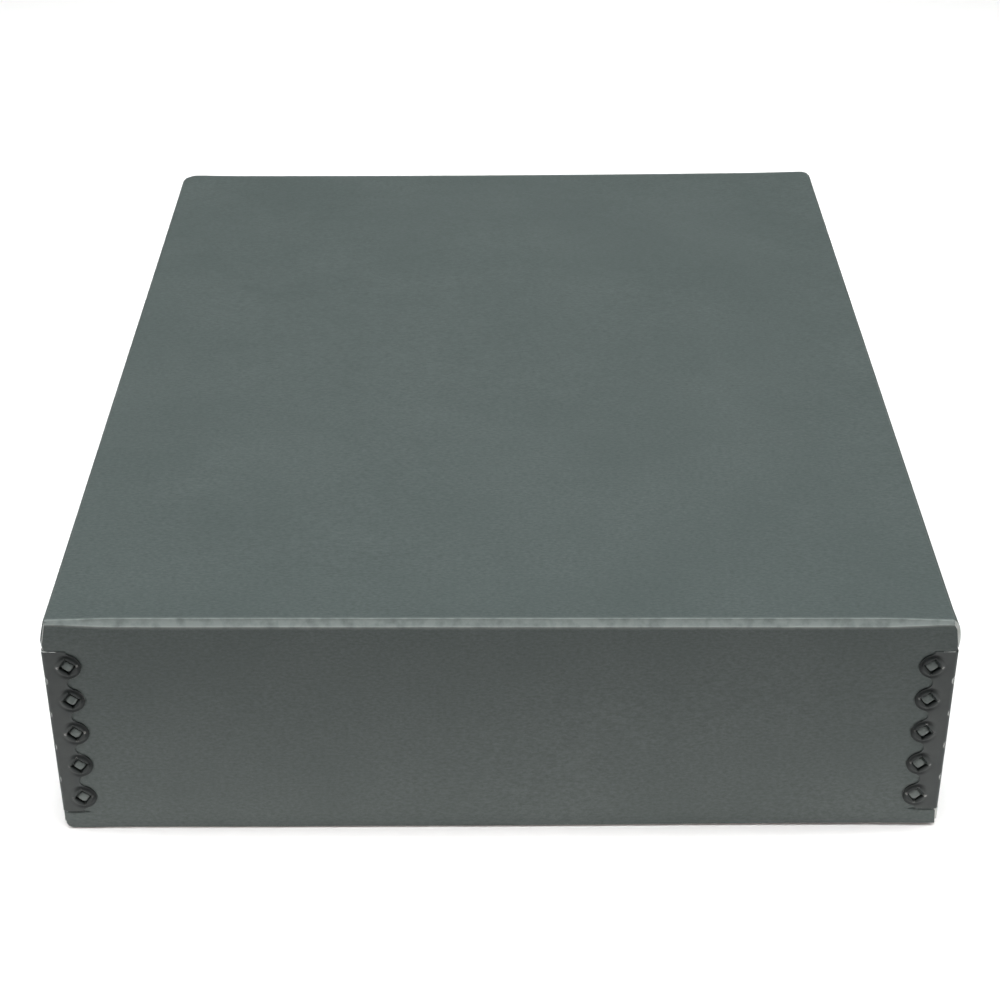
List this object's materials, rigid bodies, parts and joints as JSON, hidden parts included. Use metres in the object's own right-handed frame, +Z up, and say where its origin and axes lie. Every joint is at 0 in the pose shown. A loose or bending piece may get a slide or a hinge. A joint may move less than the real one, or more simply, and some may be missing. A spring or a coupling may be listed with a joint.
{
  "type": "archival box",
  "caption": "Rectangular metal-edge storage box of solid board: a full-depth lid lifts straight off a tray, and pronged metal stays hold the corners of both.",
  "frame": {"origin": "middle of the base, on the surface the box stands on", "axes": "+X to the right across the short walls, +Y to the back along the long walls, +Z up; the front is the short wall at -Y"},
  "size_m": [0.2802, 0.3564, 0.0801],
  "materials": {
    "board": "dark grey solid board, smooth with a faint sheen, its cut edges lighter",
    "stay": "dark grey paint on thin sheet steel, satin"
  },
  "bodies": {
    "tray": {"tray_board": "board", "tray_stay_front_left": "stay", "tray_stay_front_right": "stay", "tray_stay_back_left": "stay", "tray_stay_back_right": "stay"},
    "lid": {"lid_board": "board", "lid_stay_front_left": "stay", "lid_stay_front_right": "stay", "lid_stay_back_left": "stay", "lid_stay_back_right": "stay"}
  },
  "joints": [
    {"name": "lid_lift", "type": "slide", "parent": "tray", "child": "lid", "axis": [0, 0, 1], "range_m": [0, 0.16]}
  ]
}
